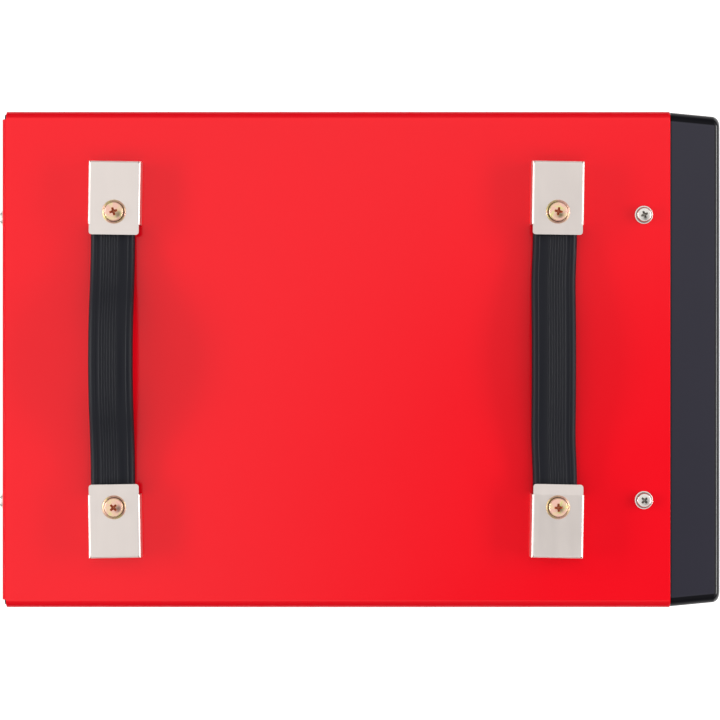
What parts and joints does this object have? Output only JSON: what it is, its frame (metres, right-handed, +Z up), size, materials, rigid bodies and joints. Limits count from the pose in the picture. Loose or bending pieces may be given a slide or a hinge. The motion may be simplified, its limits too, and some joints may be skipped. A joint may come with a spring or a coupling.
{
  "type": "inverter welding machine",
  "caption": "Portable inverter welding power source: steel case with moulded bezel, two strap handles, fan, dials, rockers and output sockets.",
  "frame": {"origin": "on the floor, under the middle of the whole machine's box", "axes": "+X to the front bezel and its controls, +Y to the machine's own left, +Z up"},
  "size_m": [0.4408, 0.3026, 0.3313],
  "materials": {
    "painted_cover": "gloss",
    "black_steel": "satin",
    "foot_rubber": "matte",
    "bezel_plastic": "satin",
    "panel_face": "matte",
    "screw_steel": "bright",
    "nickel_cap": "satin",
    "zinc_screw": "bright",
    "plain_steel": "plain",
    "strap_vinyl": "satin",
    "fan_plastic": "satin",
    "guard_wire": "bright",
    "fitting_plastic": "satin",
    "rocker_red": "gloss",
    "rocker_grey": "gloss",
    "contact_brass": "bright",
    "heatsink_alloy": "plain",
    "module_epoxy": "matte",
    "circuit_board": "satin",
    "capacitor_sleeve": "gloss",
    "ferrite": "matte",
    "powder_core": "matte",
    "copper": "bright",
    "potentiometer_case": "plain",
    "knob_plastic": "satin",
    "meter_window": "gloss",
    "lens_amber": "gloss"
  },
  "bodies": {
    "case": {"cover": "painted_cover", "base_tray": "black_steel", "feet": "foot_rubber", "foot_screws": "screw_steel", "front_bezel": "bezel_plastic", "bezel_screws": "screw_steel", "control_panel": "panel_face", "panel_screws": "screw_steel", "rear_panel": "black_steel", "cover_screws_top": "screw_steel", "cover_screws_rear": "screw_steel", "cover_screws_side": "screw_steel", "rear_cap_left": "nickel_cap", "rear_cap_right": "nickel_cap", "front_cap_left": "nickel_cap", "front_cap_right": "nickel_cap", "handle_screws": "zinc_screw", "handle_sleeves": "plain_steel", "handle_nuts": "plain_steel", "fan_frame": "fan_plastic", "fan_guard": "guard_wire", "fan_screws": "screw_steel", "mains_inlet": "fitting_plastic", "inlet_pins": "contact_brass", "inlet_screws": "screw_steel", "power_switch_frame": "fitting_plastic", "earth_stud": "contact_brass", "earth_nuts": "contact_brass", "heatsink_left": "heatsink_alloy", "heatsink_right": "heatsink_alloy", "power_modules": "module_epoxy", "power_board": "circuit_board", "capacitors": "capacitor_sleeve", "transformer_core": "ferrite", "transformer_winding": "copper", "choke_core": "powder_core", "choke_winding": "copper", "busbar_positive": "copper", "busbar_negative": "copper", "control_board": "circuit_board", "board_standoffs": "contact_brass", "potentiometers": "potentiometer_case", "meter_frame": "fitting_plastic", "meter_window": "meter_window", "indicator_lenses": "lens_amber", "mode_switch_frame": "fitting_plastic", "socket_shells": "fitting_plastic", "socket_inserts": "contact_brass"},
    "rear_handle_middle": {"rear_strap_middle": "strap_vinyl"},
    "rear_handle_left": {"rear_strap_left": "strap_vinyl"},
    "rear_handle_right": {"rear_strap_right": "strap_vinyl"},
    "front_handle_middle": {"front_strap_middle": "strap_vinyl"},
    "front_handle_left": {"front_strap_left": "strap_vinyl"},
    "front_handle_right": {"front_strap_right": "strap_vinyl"},
    "fan": {"fan_rotor": "fan_plastic"},
    "current_dial": {"current_knob": "knob_plastic"},
    "arc_dial": {"arc_knob": "knob_plastic"},
    "power_key": {"power_rocker": "rocker_red"},
    "mode_key": {"mode_rocker": "rocker_grey"}
  },
  "joints": [
    {"name": "rear_handle_lift", "type": "slide", "parent": "case", "child": "rear_handle_middle", "axis": [0, 0, 1], "range_m": [0, 0.02]},
    {"name": "rear_left_feed", "type": "slide", "parent": "rear_handle_middle", "child": "rear_handle_left", "axis": [0, -0.3593, -0.9332], "range_m": [0, 0.02144]},
    {"name": "rear_right_feed", "type": "slide", "parent": "rear_handle_middle", "child": "rear_handle_right", "axis": [0, 0.3593, -0.9332], "range_m": [0, 0.02144]},
    {"name": "front_handle_lift", "type": "slide", "parent": "case", "child": "front_handle_middle", "axis": [0, 0, 1], "range_m": [0, 0.025]},
    {"name": "front_left_feed", "type": "slide", "parent": "front_handle_middle", "child": "front_handle_left", "axis": [0, -0.2944, -0.9557], "range_m": [0, 0.02617]},
    {"name": "front_right_feed", "type": "slide", "parent": "front_handle_middle", "child": "front_handle_right", "axis": [0, 0.2944, -0.9557], "range_m": [0, 0.02617]},
    {"name": "fan_spin", "type": "hinge", "parent": "case", "child": "fan", "pos_m": [-0.1902, 0, 0.1255], "axis": [1, 0, 0], "continuous": true},
    {"name": "current_turn", "type": "hinge", "parent": "case", "child": "current_dial", "pos_m": [0.1966, -0.058, 0.18], "axis": [1, 0, 0], "range_deg": [-140, 140]},
    {"name": "arc_turn", "type": "hinge", "parent": "case", "child": "arc_dial", "pos_m": [0.1966, 0.058, 0.18], "axis": [1, 0, 0], "range_deg": [-140, 140]},
    {"name": "power_rock", "type": "hinge", "parent": "case", "child": "power_key", "pos_m": [-0.2044, 0.078, 0.25], "axis": [0, -1, 0], "range_deg": [0, 20]},
    {"name": "mode_rock", "type": "hinge", "parent": "case", "child": "mode_key", "pos_m": [0.1956, 0.058, 0.224], "axis": [0, 1, 0], "range_deg": [0, 20]}
  ],
  "couplings": [
    {"joint": "rear_left_feed", "follows": "rear_handle_lift", "ratio": 1.0716},
    {"joint": "rear_right_feed", "follows": "rear_handle_lift", "ratio": 1.0716},
    {"joint": "front_left_feed", "follows": "front_handle_lift", "ratio": 1.0464},
    {"joint": "front_right_feed", "follows": "front_handle_lift", "ratio": 1.0464}
  ]
}
